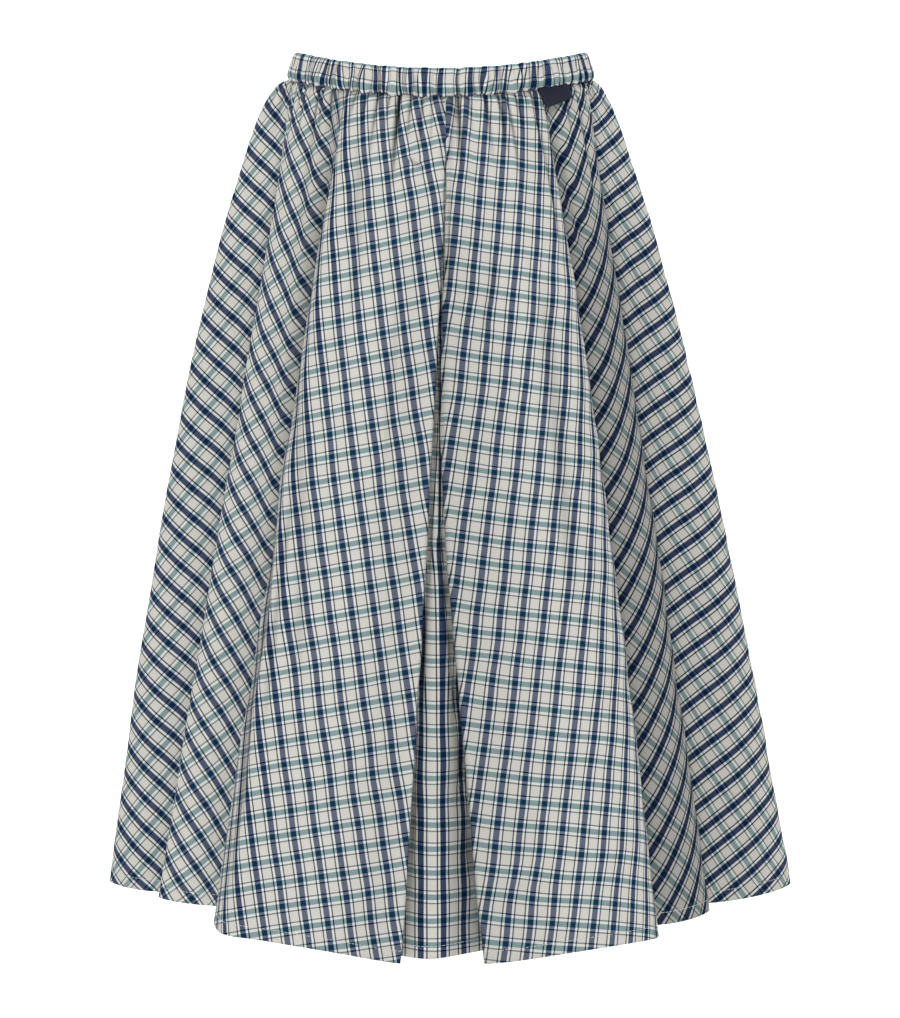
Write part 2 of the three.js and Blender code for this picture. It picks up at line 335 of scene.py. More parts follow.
backFolds = [
    ("right seam", 98, 0, 222, 74, 1, 1),
    ("flute 1, side", 103, 0, 262, 100, 0.8, 0.9),
    ("flute 1, crest", 109, 0, 284, 136, 0.74, 0.8),
    ("flute 1, back", 115, 0, 244, 152, 0.78, 0.8),
    ("valley 1", 121, 0, 150, 106, 1, 1),
    ("flute 2, side", 127, 0, 184, 180, 0.82, 0.8),
    ("flute 2, crest", 134, 0, 196, 214, 0.8, 0.74),
    ("flute 2, back", 141, 0, 146, 212, 0.82, 0.76),
    ("valley 2", 147, 0, 88, 120, 1, 1),
    ("flute 3, side", 154, 0, 84, 218, 0.85, 0.76),
    ("flute 3, crest", 162, 0, 66, 246, 0.85, 0.72),
    ("flute 3, back", 169, 0, 24, 226, 0.9, 0.76),
    ("valley 3", 176, 0, 6, 130, 1, 1),
    ("flute 4, side", 183, 0, -20, 224, 0.9, 0.76),
    ("flute 4, crest", 190, 0, -58, 246, 0.85, 0.72),
    ("flute 4, back", 198, 0, -88, 216, 0.85, 0.76),
    ("valley 4", 205, 0, -82, 118, 1, 1),
    ("flute 5, side", 212, 0, -138, 214, 0.82, 0.76),
    ("flute 5, crest", 220, 0, -190, 212, 0.8, 0.74),
    ("flute 5, back", 227, 0, -182, 176, 0.82, 0.8),
    ("valley 5", 234, 0, -142, 106, 1, 1),
    ("flute 6, side", 241, 0, -232, 156, 0.78, 0.8),
    ("flute 6, crest", 249, 0, -272, 140, 0.74, 0.8),
    ("flute 6, back", 256, 0, -254, 104, 0.8, 0.9),
]
# Fold lines that lean sideways, so that the pleat's edges almost meet over its upper part:
# millimetres at the middle of the stretch between two levels.
sways = {
    "front left, inner": (1.6, -0.25, 0.50),
    "pleat edge, left": (2.5, -0.25, 0.50),
    "pleat return, left": (2.5, -0.25, 0.50),
    "pleat return, right": (-7.2, 0.05, 0.80),
    "pleat edge, right": (-7.2, 0.05, 0.80),
    "front right, inner": (-4.0, 0.05, 0.80),
}
folds = frontFolds + backFolds
foldNames = [row[0] for row in folds]
foldSizes = np.array([row[1:] for row in folds])
foldSways = np.array([sways.get(name, (0.0, 0.0, 1.0)) for name in foldNames])


def foldLines(levels):
    angle, tuck, hemX, hemY, powerX, powerY = foldSizes.T
    level = np.asarray(levels)[:, None]
    topX, topY, rise = waistPlace(angle, waist["panelInset"] + tuck * mm)
    topZ = rise - waist["bandHeight"] - waist["seamGap"]
    reach, start, stop = foldSways.T
    sway = reach * np.sin(math.pi * np.clip((level - start) / (stop - start), 0, 1)) ** 2
    x = topX + (hemX * mm - topX) * level ** powerX + sway * mm
    y = topY + (hemY * mm - topY) * level ** powerY
    z = topZ + (waist["hem"] - topZ) * level
    return np.stack([x, y, z], 2)


def clothFace(levels, places):
    # soft sections: each fold line rounds off between the midpoints to its neighbours
    lines = foldLines(levels)
    fold = np.floor(places).astype(int) % len(folds)
    share = (places - np.floor(places))[None, :, None]
    here = lines[:, fold]
    start = (lines[:, fold - 1] + here) / 2
    end = (lines[:, (fold + 1) % len(folds)] + here) / 2
    return (1 - share) ** 2 * start + 2 * share * (1 - share) * here + share ** 2 * end


def foldPlace(name):
    return foldNames.index(name) + 0.5


def nearestColumn(places, name):
    return int(np.argmin(np.abs(places - foldPlace(name))))


def outward(points):
    along = np.gradient(points, axis=1)
    down = np.gradient(points, axis=0)
    normal = np.cross(down, along)
    return normal / np.linalg.norm(normal, axis=2)[..., None]


def runAlong(points, easeRows):
    step = np.linalg.norm(np.diff(points, axis=1), axis=2) * easeRows[:, None]
    return np.concatenate([np.zeros((len(points), 1)), np.cumsum(step, 1)], 1)


# How the check lies: on each face it keeps its own grain, turned by some degrees.
grain = {
    "gather": 0.14,         # extra cloth taken up evenly at the waist, besides the pinches
    "gatherReach": 0.50,
    "gatherFade": 1.2,
    "flare": 0.06,          # how much less cloth there is across at the hem than at the waist
    "drop": (1.055, 0.95),  # cloth a metre of drop, at the waist and at the hem
    # first fold, last fold, the fold that it is measured from; turn and stretch of the warp
    # and of the weft; shifts in repeats; how far it is turned away, which sets the painted shade on its
    # navy warp
    "front": [
        ("left crest, back", "far left valley, in", "far left face",
         -56.0, 0.930, -46.0, 0.960, 0.11, 0.09, 0.95),
        ("mid left crest, back", "left valley, in", "mid left face",
         -43.5, 0.900, -35.5, 0.971, 0.31, 0.32, 0.65),
        ("front left, back", "pleat edge, left", "front left face",
         -12.9, 0.955, -14.6, 1.023, 0.65, 0.10, 0.25),
        ("underlay, left", "underlay, right", "underlay",
         1.5, 1.040, 2.0, 1.010, 0.45, -0.20, 1.0),
        ("pleat edge, right", "front right, back", "front right face",
         11.2, 1.010, 10.6, 1.016, -0.33, 0.53, 0.25),
        ("right valley, in", "mid right, back", "mid right face",
         40.0, 0.950, 42.0, 0.950, -0.39, 0.4, 1.35),
        ("far right valley, in", "right crest, back", "far right face",
         65.3, 0.965, 52.0, 0.910, 0.0, 0.45, 1.2),
    ],
    # each flute behind: the turn of its grain, how far it is turned away, which sets the painted shade on
    # its navy warp
    "flutes": [(-40.0, 0.5), (-24.0, 0.3), (-8.0, 0.1), (8.0, 0.1), (24.0, 0.3), (40.0, 0.5)],
}


def fluteFaces():
    rows = []
    for number, (turn, away) in enumerate(grain["flutes"], 1):
        names = [f"flute {number}, {part}" for part in ("side", "back", "crest")]
        rows.append((*names, turn, 1.0, turn, 1.0, 0.0, 0.0, away))
    return rows


def gatherEase(levels):
    fade = np.clip(1 - levels / grain["gatherReach"], 0, 1) ** grain["gatherFade"]
    return 1 + grain["gather"] * fade + grain["flare"] * (0.5 - levels)


def grainWay(lean):
    return np.array([math.cos(lean), -math.sin(lean)])


def layFace(points, run, dropEase, lifted, columns, turns, stretches):
    # a face laid flat, measured from its middle column
    first, last, middle = columns
    tangent = points[:, middle + 1] - points[:, middle - 1]
    tangent /= np.linalg.norm(tangent, axis=1)[:, None]
    step = np.diff(points[:, middle], axis=0)
    halfway = tangent[1:] + tangent[:-1]
    halfway /= np.linalg.norm(halfway, axis=1)[:, None]
    sideways = (step * halfway).sum(1)
    downward = np.sqrt(np.maximum((step ** 2).sum(1) - sideways ** 2, 0))
    downward *= (dropEase[1:] + dropEase[:-1]) / 2
    across = np.concatenate([[0], np.cumsum(sideways)])[:, None]
    across = across + run[:, first:last + 1] - run[:, middle:middle + 1]
    fall = np.concatenate([[0], np.cumsum(downward)])[:, None] + lifted[:, first:last + 1]
    u, v = turns
    return np.stack([(across * math.cos(u) + fall * math.sin(u)) * stretches[0],
                     (fall * math.cos(v) - across * math.sin(v)) * stretches[1]], 2)


def placeFaces(faces, home, run):
    # where each flat face starts, so that the cloth runs on at the waist from face to face
    def gap(left, right):
        lean = (left["lean"] + right["lean"]) / 2
        return (run[0, right["first"]] - run[0, left["last"]]) * grainWay(lean)

    starts = [None] * len(faces)
    middle = (faces[home]["last"] - faces[home]["first"]) // 2
    starts[home] = -faces[home]["flat"][0, middle]
    for k in range(home, len(faces) - 1):
        left, right = faces[k], faces[k + 1]
        starts[k + 1] = starts[k] + left["flat"][0, -1] + gap(left, right) - right["flat"][0, 0]
    for k in range(home, 0, -1):
        left, right = faces[k - 1], faces[k]
        starts[k - 1] = starts[k] + right["flat"][0, 0] - gap(left, right) - left["flat"][0, -1]
    return starts


def grainMap(points, levels, places, rows, home, taken, lifted):
    run = runAlong(points, gatherEase(levels)) + taken
    top, bottom = grain["drop"]
    dropEase = top + (bottom - top) * levels
    repeats = np.array([checkCloth["warpRepeat"], checkCloth["weftRepeat"]])
    faces = []
    for *names, turnU, stretchU, turnV, stretchV, shiftU, shiftV, away in rows:
        columns = [nearestColumn(places, name) for name in names]
        turns = (math.radians(turnU), math.radians(turnV))
        flat = layFace(points, run, dropEase, lifted, columns, turns, (stretchU, stretchV))
        faces.append({"first": columns[0], "last": columns[1], "lean": sum(turns) / 2,
                      "flat": flat, "shift": np.array([shiftU, shiftV]) * repeats, "away": away})
    homeFace = [row[2] for row in rows].index(home)
    flat = np.full(points.shape[:2] + (2,), np.nan)
    away = np.zeros(points.shape[1])
    for face, start in zip(faces, placeFaces(faces, homeFace, run)):
        columns = slice(face["first"], face["last"] + 1)
        flat[:, columns] = face["flat"] + start + face["shift"]
        away[columns] = face["away"]
    # the folds between two faces share out what is left between them
    for left, right in zip(faces, faces[1:]):
        a, b = left["last"], right["first"]
        share = (run[:, a:b + 1] - run[:, a:a + 1]) / (run[:, b:b + 1] - run[:, a:a + 1])
        share = share[..., None]
        flat[:, a:b + 1] = flat[:, a:a + 1] * (1 - share) + flat[:, b:b + 1] * share
        away[a:b + 1] = np.linspace(left["away"], right["away"], b - a + 1)
    # past the outer faces the grain runs on as it is
    before, after = slice(0, faces[0]["first"]), slice(faces[-1]["last"] + 1, None)
    for face, edge, columns in ((faces[0], faces[0]["first"], before),
                                (faces[-1], faces[-1]["last"], after)):
        further = (run[:, columns] - run[:, edge:edge + 1])[..., None]
        flat[:, columns] = flat[:, edge:edge + 1] + further * grainWay(face["lean"])
        away[columns] = away[edge]
    return flat, away


# Gathers below the band: narrow pinches with soft ridges between them. Millimetres, and
# shares of the length for what runs down the cloth.
gathers = {
    "seed": 7,
    "spacing": (4.8, 11.0),
    "clear": 4.5,               # none is added so near to one that is there
    "depth": (0.9, 3.2),
    "halfWidth": (1.2, 2.1),
    "reach": (0.03, 0.15),
    "start": (-0.003, 0.007),
    "widen": 0.5,               # how much wider one is at its lower end
    "drift": 5,                 # how far one may lean over the whole length
    "fade": 1.15,
    "ridge": (0.42, 2.7),       # the ridge round a pinch: shares of its depth and width
    "cloth": 0.55,              # cloth taken up for each millimetre of depth
    "clothFade": 1.3,
    "lift": 0.9,                # how unevenly the cloth hangs from the seam
    "liftPlace": (3, 4.5),      # beside a pinch, half width
    "liftReach": 0.2,
    "puff": 2.0,                # how far it stands out just under the band
    "puffIn": (0.0, 0.010),
    "puffOut": (0.02, 0.11),
    "shade": 0.20,              # painted shade: how much darker a millimetre of depth makes a pinch
    "shadeWidth": 0.6,
    "seamShadow": 0.30,
    "seamShadowOut": (0.001, 0.007),
    "seamTurn": (1.4, 1.6),     # how far the side seams' edges turn in, and over what width
}
# Long soft swells, every other one a slip of the grain.
swells = {
    "count": 14,
    "length": (60, 190),
    "height": (120, 420),
    "rise": 0.30,
    "riseIn": (0.02, 0.2),
    "slip": 0.15,
    "slipIn": (0.0, 0.1),
}
# Pinches that stand out: face, x at the waist, depth, half width, reach, cloth taken. Millimetres.
pinches = [
    ("front left face", -32, 6.2, 1.9, 0.120, 7.0),
    ("front left face", -23, 3.4, 1.5, 0.060, 1.5),
    ("front left face", -40, 2.6, 1.4, 0.05, 1.0),
    ("front left face", -49, 3.4, 1.6, 0.085, 1.6),
    ("front left face", -58, 2.4, 1.5, 0.06, 1.0),
    ("front left face", -14, 2.8, 1.5, 0.075, 1.3),
    ("front right face", 14, 4.4, 1.8, 0.11, 4.0),
    ("front right face", 23, 2.0, 1.4, 0.05, 0.8),
    ("front right face", 35, 3.2, 1.7, 0.085, 1.4),
    ("front right face", 45, 3.4, 1.7, 0.08, 1.4),
    ("front right face", 58, 2.6, 1.6, 0.065, 1.0),
    ("mid left face", -84, 3.4, 1.8, 0.075, 1.8),
    ("mid left face", -97, 3.2, 1.8, 0.095, 1.6),
    ("mid left face", -108, 2.8, 1.6, 0.075, 1.2),
    ("mid right face", 99, 3.4, 1.8, 0.085, 1.6),
    ("mid right face", 108, 3.0, 1.7, 0.075, 1.2),
]
# Where a face rolls away at its edge: face, a fold, where it starts and ends beside that fold,
# millimetres of cloth in it at the hem, how much further the cloth is turned away, for more painted shade
# on its navy warp.
rolls = [
    ("front right face", "front right, outer", -0.6, 2.0, 44, 1.3),
    ("mid right face", "mid right crest", -0.9, 1.0, 24, 0.2),
    ("far right face", "far right, inner", 0.6, -0.1, 12, 0.1),
    ("front left face", "front left, outer", 0.2, -2.4, 11, 1.6),
    ("mid left face", "mid left, inner", -0.6, 0.1, 10, 0.2),
    ("far left face", "far left, inner", -0.5, 0.1, 6, 0.1),
]
rollPowers = (2, 0.45)      # how the cloth comes in across the roll and down its length
# Painted shade between the folds, 0 to 1, for the folds whose names end so.
foldShade = {
    "valley": 0.60, "valley, in": 0.46, "valley, out": 0.52, ", inner": 0.05, ", back": 0.05,
    "return, left": 0.65, "return, right": 0.65, "root, left": 0.62, "root, right": 0.62,
    "underlay, left": 0.07, "underlay, right": 0.17,
    "pleat edge, left": 0.03, "pleat edge, right": 0.09,
}
# Painted shade on whole faces: the recessed mid right face, and the side faces turned from the light.
faceShade = {"mid right": 0.22, "far right": 0.08, "far left": 0.02}
foldShadeAtWaist = 0.2      # the share of it that is there at the waist
foldShadeIn = (0.0, 0.25)
darkest = 0.75              # no cloth is nearer to the shadow's colour than this
creasing = {
    "faceEdge": 0.6,            # folds over which a crease dies out at the edge of its face
    "start": (-0.12, 0.2),      # shares of a line over which it starts and ends
    "end": (0.75, 1.12),
    "shade": 0.5,               # painted shade in a crease, a share of a gather's
    "shadeWidth": 0.7,
    "cloth": 0.55,
    "clothWidth": 1.7,
}
# Front view, millimetres: face, the line's x and z from top to bottom, half width, height
# (below 0, a trough).
creases = [
    ("mid left face", ((-71, -20), (-78, -44), (-84, -62), (-93, -93), (-98, -125)), 1.6, -2.6),
    ("front right face", ((73, -24), (85, -68), (93, -109), (99, -150)), 1.6, -2.4),
    ("mid right face", ((113, -24), (118, -50), (126, -84), (130, -112)), 1.8, -2.6),
    ("front left face", ((-27, -72), (-20, -77), (-13, -79)), 2.2, -2.4),
    ("front left face", ((-27, -30), (-20, -52), (-17, -70)), 4.2, 1.6),
    ("front left face", ((-136, -330), (-146, -455), (-158, -514), (-166, -591), (-176, -668)), 3.6, -2.6),
    ("front left face", ((-126, -322), (-136, -440), (-148, -520), (-156, -600)), 4.5, 1.5),
    ("front left face", ((-122, -344), (-146, -536)), 3.2, -1.6),
    ("front left face", ((-120, -230), (-112, -380), (-118, -500)), 7.0, -1.0),
    ("front left face", ((-96, -90), (-100, -230)), 7.0, 1.3),
    ("front left face", ((-66, -60), (-70, -190)), 6.0, -1.2),
    ("front left face", ((-62, -150), (-78, -330), (-84, -470)), 9.0, 1.2),
    ("front left face", ((-34, -180), (-46, -330)), 6.0, -0.9),
    ("front right face", ((14, -24), (8, -56), (5, -84)), 2.2, -2.4),
    ("front right face", ((22, -26), (19, -60), (16, -90)), 4.0, 1.4),
    ("front right face", ((8, -84), (5.5, -160), (2.8, -229), (2.4, -298), (4.4, -345)), 1.9, -3.0),
    ("front right face", ((46, -150), (36, -216)), 4.5, -1.6),
    ("front right face", ((60, -60), (72, -240)), 8.0, 1.3),
    ("front right face", ((84, -180), (108, -420)), 9.0, -1.2),
    ("front right face", ((106, -240), (132, -560)), 9.0, 1.3),
    ("front right face", ((26, -250), (40, -420)), 7.0, 0.9),
    ("underlay", ((1, -180), (-1, -250), (1.4, -367), (7, -436), (19.4, -574), (32.4, -708)), 1.9, -5.2),
    ("underlay", ((-1, -229), (-8.6, -367), (-16.4, -505), (-29.6, -708)), 1.5, -3.6),
    ("mid left face", ((-76, -44), (-86, -46), (-90, -60)), 2.4, -1.8),
    ("mid left face", ((-104, -44), (-120, -150)), 5.0, -1.4),
    ("mid left face", ((-112, -120), (-134, -260), (-150, -400)), 6.0, 1.1),
    ("mid right face", ((84, -34), (100, -92), (124, -162)), 3.4, -3.4),
    ("mid right face", ((92, -34), (109, -94), (132, -164)), 4.5, 1.4),
    ("mid right face", ((140, -180), (160, -330)), 6.0, -1.0),
    ("far left face", ((-128, -60), (-150, -170)), 6.0, -1.2),
    ("far left face", ((-140, -150), (-178, -320)), 8.0, 1.1),
    ("far right face", ((126, -50), (146, -150)), 5.0, -1.3),
    ("far right face", ((150, -150), (190, -330)), 8.0, 1.0),
]


def band(value, low, high):
    share = np.clip((value - low) / (high - low), 0, 1)
    return share * share * (3 - 2 * share)


def besideLine(x, z, line):
    # how far each point lies to the right of a line that runs down, and its share of the way
    lengths = [math.dist(start, stop) for start, stop in zip(line, line[1:])]
    nearest = np.full(x.shape, np.inf)
    aside, way, before = np.zeros(x.shape), np.zeros(x.shape), 0.0
    for (x0, z0), (x1, z1), length in zip(line, line[1:], lengths):
        down = ((x - x0) * (x1 - x0) + (z - z0) * (z1 - z0)) / length
        right = ((z - z0) * (x1 - x0) - (x - x0) * (z1 - z0)) / length
        far = np.hypot(right, np.maximum(0, np.maximum(-down, down - length)))
        if line[0] == (x0, z0):     # the line runs on above its first point
            far = np.where(down < 0, np.abs(right), far)
        nearer = far < nearest
        nearest = np.where(nearer, far, nearest)
        aside = np.where(nearer, right, aside)
        way = np.where(nearer, (before + down) / sum(lengths), way)
        before += length
    return aside, way


# What is shaped on a panel's smooth face: how far the cloth stands up or sinks, what it takes
# up sideways, how unevenly it hangs, the shade painted on it and how far it is turned away.
class Relief:
    def __init__(self, points, levels, places, rows, seed):
        self.rng = np.random.default_rng(seed)
        self.places = places
        self.level = levels[:, None]
        self.arc = runAlong(points, np.ones(len(levels))) / mm
        self.x = points[..., 0] / mm
        self.z = points[..., 2] / mm
        self.faces = {row[2]: row for row in rows}
        self.raised, self.taken, self.lifted, self.paintedShade = np.zeros((4, *points.shape[:2]))
        self.turned = np.zeros(len(places))

    # painted shade: each point keeps the darkest shade laid on it
    def darken(self, shade):
        self.paintedShade = np.maximum(self.paintedShade, shade)

    def placedPinches(self):
        found = []
        for face, across, depth, halfWidth, reach, cloth in pinches:
            if face in self.faces:
                first, last = (nearestColumn(self.places, name) for name in self.faces[face][:2])
                place = first + int(np.argmin(np.abs(self.x[0, first:last + 1] - across)))
                found.append((self.arc[0, place], depth, halfWidth, reach, cloth))
        return found

    def allPinches(self):
        found, position = self.placedPinches(), 0.0
        while position < self.arc[0, -1]:
            position += self.rng.uniform(*gathers["spacing"])
            depth = self.rng.uniform(*gathers["depth"])
            halfWidth = self.rng.uniform(*gathers["halfWidth"])
            reach = self.rng.uniform(*gathers["reach"]) * (1 + depth / gathers["depth"][1]) / 2
            near = min((abs(position - other[0]) for other in found), default=math.inf)
            if near > gathers["clear"]:
                found.append((position, depth, halfWidth, reach, depth * gathers["cloth"]))
        return found

    def gather(self):
        start = band(self.level, *gathers["start"])
        ridgeDepth, ridgeWidth = gathers["ridge"]
        liftPlace, liftWidth = gathers["liftPlace"]
        liftFade = np.clip(1 - self.level / gathers["liftReach"], 0, 1)
        for position, depth, halfWidth, reach, cloth in self.allPinches():
            drift = self.rng.uniform(-gathers["drift"], gathers["drift"]) * self.level
            width = halfWidth * (1 + gathers["widen"] * self.level / reach)
            q = (self.arc[:1] - position - drift) / width
            left = np.clip(1 - self.level / reach, 0, 1)
            fade = depth * left ** gathers["fade"]
            # painted shade in the pinch
            self.darken(gathers["shade"] * fade * np.exp(-(q / gathers["shadeWidth"]) ** 2))
            ridge = ridgeDepth * np.exp(-(q / ridgeWidth) ** 2)
            self.raised += fade * start * (ridge - np.exp(-q ** 2))
            self.taken += cloth * left ** gathers["clothFade"] * (1 + np.tanh(q)) / 2
            lift = self.rng.uniform(-1, 1) * gathers["lift"]
            aside = (self.arc[:1] - position - liftPlace) / liftWidth
            self.lifted += lift * np.exp(-aside ** 2) * liftFade

    def swell(self):
        for index in range(swells["count"]):
            length, tall = self.rng.uniform(*swells["length"]), self.rng.uniform(*swells["height"])
            phase = self.rng.uniform(0, math.tau, 2)
            turns = math.tau * self.arc / length + phase[0]
            tide = np.sin(math.tau * self.z / tall + phase[1])
            if index % 2:
                rise = swells["rise"] * tide * band(self.level, *swells["riseIn"])
                self.raised += rise * np.sin(turns)
            else:
                slip = swells["slip"] * tide * band(self.level, *swells["slipIn"])
                self.taken += slip * np.sin(turns)
                self.lifted += slip * np.cos(turns)

    def crease(self):
        for face, line, halfWidth, height in creases:
            if face not in self.faces:
                continue
            low, high = (foldPlace(name) for name in self.faces[face][:2])
            low, high, edge = low - 0.5, high + 0.5, creasing["faceEdge"]
            inFace = band(self.places, low, low + edge) * (1 - band(self.places, high - edge, high))
            aside, way = besideLine(self.x, self.z, line)
            ends = band(way, *creasing["start"]) * (1 - band(way, *creasing["end"])) * inFace
            q = aside / halfWidth
            self.raised += height * np.exp(-q ** 2) * ends
            if height < 0:
                # painted shade in the trough
                shade = gathers["shade"] * creasing["shade"] * -height
                self.darken(shade * np.exp(-(q / creasing["shadeWidth"]) ** 2) * ends)
                drawn = creasing["cloth"] * -height * q
                self.taken += drawn * np.exp(-(q / creasing["clothWidth"]) ** 2) * ends

    def roll(self):
        across, down = rollPowers
        for face, fold, start, stop, cloth, more in rolls:
            if face in self.faces:
                share = np.clip((self.places - foldPlace(fold) - start) / (stop - start), 0, 1)
                self.taken += math.copysign(cloth, stop - start) * share ** across * self.level ** down
                # the navy warp takes more painted shade across the roll
                self.turned += more * share * (share < 1)

    def hangFromSeam(self):
        # it puffs out under the band, and a painted shadow of the band darkens it at the seam
        puff = band(self.level, *gathers["puffIn"]) * (1 - band(self.level, *gathers["puffOut"]))
        self.raised += gathers["puff"] * puff
        shadow = gathers["seamShadow"] * (1 - band(self.level, *gathers["seamShadowOut"]))
        self.darken(shadow * np.clip(0.9 + self.lifted, 0.2, 1.4))

    # painted shade between the folds and on whole faces, growing from the waist down
    def shadeFolds(self):
        shades = []
        for name in foldNames:
            ending = max((key for key in foldShade if name.endswith(key)), key=len, default=None)
            ofFace = sum(value for key, value in faceShade.items() if name.startswith(key))
            shades.append(foldShade.get(ending, 0.0) + ofFace)
        ring = np.arange(-1, len(folds) + 1) + 0.5
        between = np.interp(self.places, ring, [shades[-1], *shades, shades[0]])
        least, full = foldShadeAtWaist, band(self.level, *foldShadeIn)
        self.darken(between * (least + (1 - least) * full))

    def turnInEdges(self):
        depth, width = gathers["seamTurn"]
        edge = np.minimum(self.arc, self.arc[:, -1:] - self.arc)
        self.raised -= depth * np.exp(-(edge / width) ** 2)


def clothRelief(points, levels, places, rows, seed):
    relief = Relief(points, levels, places, rows, seed)
    relief.gather()
    relief.swell()
    relief.crease()
    relief.roll()
    relief.hangFromSeam()
    relief.shadeFolds()
    relief.turnInEdges()
    return relief


def meshObject(name, points, quads, flat, marks, ring=0.0):
    mesh = bpy.data.meshes.new(name)
    mesh.from_pydata(points.tolist(), [], quads.tolist())
    mesh.validate()
    layer = mesh.uv_layers.new(name="cloth")
    order = np.empty(len(mesh.loops), int)
    mesh.loops.foreach_get("vertex_index", order)
    places = flat[order].reshape(-1, 4, 2)
    if ring:
        # the quads across the seam of a closed ring run on past its length
        behind = places[..., 0] < places[..., 0].max(1, keepdims=True) - ring / 2
        places[..., 0] += ring * behind
    layer.data.foreach_set("uv", places.astype(np.float32).ravel())
    for key, values in marks.items():
        attribute = mesh.attributes.new(key, "FLOAT", "POINT")
        attribute.data.foreach_set("value", values.astype(np.float32))
    mesh.shade_smooth()
    thing = bpy.data.objects.new(name, mesh)
    bpy.context.scene.collection.objects.link(thing)
    return thing


def gridQuads(rows, columns, start=0, closed=False, turned=False):
    across = columns if closed else columns - 1
    r, c = np.meshgrid(np.arange(rows - 1), np.arange(across), indexing="ij")
    here = start + r * columns + c
    right = start + r * columns + (c + 1) % columns
    quads = np.stack([here, here + columns, right + columns, right], 2).reshape(-1, 4)
    return quads[:, ::-1] if turned else quads


def shell(name, outer, inner, flat, away, paintedShade, ring=0.0):
    # outer and inner faces joined round their edges, faces outwards; a ring closes on itself
    closed = ring > 0
    rows, columns = outer.shape[:2]
    count = rows * columns
    quads = [gridQuads(rows, columns, 0, closed), gridQuads(rows, columns, count, closed, True)]
    across = np.arange(columns if closed else columns - 1)
    right = (across + 1) % columns
    last = (rows - 1) * columns
    quads.append(np.stack([across, right, count + right, count + across], 1))
    quads.append(np.stack([last + across, count + last + across, count + last + right, last + right], 1))
    if not closed:
        down = np.arange(rows - 1) * columns
        quads.append(np.stack([down, count + down, count + down + columns, down + columns], 1))
        far = down + columns - 1
        quads.append(np.stack([far, far + columns, count + far + columns, count + far], 1))
    points = np.concatenate([outer.reshape(-1, 3), inner.reshape(-1, 3)])
    both = np.concatenate([flat.reshape(-1, 2)] * 2)
    marks = {key: np.concatenate([np.broadcast_to(values, outer.shape[:2]).ravel()] * 2)
             for key, values in (("turnedAwayShade", away), ("paintedShade", paintedShade))}
    return meshObject(name, points, np.concatenate(quads), both, marks, ring)


def dress(piece, node, material):
    piece.data.materials.append(material)
    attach(piece, "root")
    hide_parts(node)
    return piece


panels = {
    "waistPerDegree": 2.05,     # millimetres of waist, for the columns' spacing
    "columnPitch": 0.95,        # millimetres along the waist
    "columnsInFold": (4, 26),   # the fewest and the most
    "rows": (30, 52, 12),       # in the gathers, down the length, at the hem
    "rowBreaks": (0.12, 0.95),
    "seamShare": 0.6,           # how much of the gathers' depth is left at the waist seam
    "wall": 1.0 * mm,
    "hemDepth": 12 * mm,
    "hemWall": 1.9 * mm,
    "hemStep": 0.004,
}


def panelLevels():
    near, middle, far = panels["rows"]
    gathered, hem = panels["rowBreaks"]
    return np.concatenate([np.linspace(0, gathered, near, endpoint=False),
                           np.linspace(gathered, hem, middle, endpoint=False),
                           np.linspace(hem, 1, far)])


def columnPlaces(first, last):
    angles = foldSizes[:, 0]
    places = []
    for fold in range(first, last):
        before, after = angles[fold - 1], angles[(fold + 1) % len(folds)]
        width = abs((after - before + 180) % 360 - 180) / 2 * panels["waistPerDegree"]
        count = int(np.clip(round(width / panels["columnPitch"]), *panels["columnsInFold"]))
        places += [fold + k / count for k in range(count)]
    return np.array(places + [float(last)])


def panel(name, node, first, last, rows, home, seed):
    levels = panelLevels()
    places = columnPlaces(first, last)
    points = clothFace(levels, places)
    relief = clothRelief(points, levels, places, rows, seed)
    flat, away = grainMap(points, levels, places, rows, home, relief.taken * mm, relief.lifted * mm)
    normal = outward(points)
    face = points + normal * (relief.raised * mm)[..., None]
    level = np.array([1, 1, 0])     # the waist seam and the hem keep their heights
    face[0] = points[0] + normal[0] * (relief.raised[0] * panels["seamShare"] * mm)[:, None] * level
    out = normal.copy()
    out[[0, -1]] *= level
    out /= np.linalg.norm(out, axis=2)[..., None]
    hem = 1 - panels["hemDepth"] / clothDrop
    thicker = band(levels, hem - panels["hemStep"], hem)
    wall = panels["wall"] + (panels["hemWall"] - panels["wall"]) * thicker
    inner = face - out * wall[:, None, None]
    paintedShade = np.clip(relief.paintedShade, 0, darkest)
    piece = dress(shell(name, face, inner, flat, away + relief.turned, paintedShade),
                  node, checkMaterial)
    return {"piece": piece, "face": face, "out": out, "flat": flat, "levels": levels}


def flatArea(flat):
    down, across = flat[1:, :-1] - flat[:-1, :-1], flat[:-1, 1:] - flat[:-1, :-1]
    return float(np.abs(down[..., 0] * across[..., 1] - down[..., 1] * across[..., 0]).sum())


seed = gathers["seed"]
seams = (0, len(frontFolds), len(folds))
front = panel("front_cloth", "front_panel", seams[0], seams[1], grain["front"], "underlay", seed)
back = panel("back_cloth", "back_panel", seams[1], seams[2], fluteFaces(), "flute 3, crest", seed + 1)
for made in (front, back):
    extent = np.ptp(made["flat"].reshape(-1, 2), axis=0)
    print(made["piece"].name, "made, cut area", round(flatArea(made["flat"]), 4), "extent", extent)


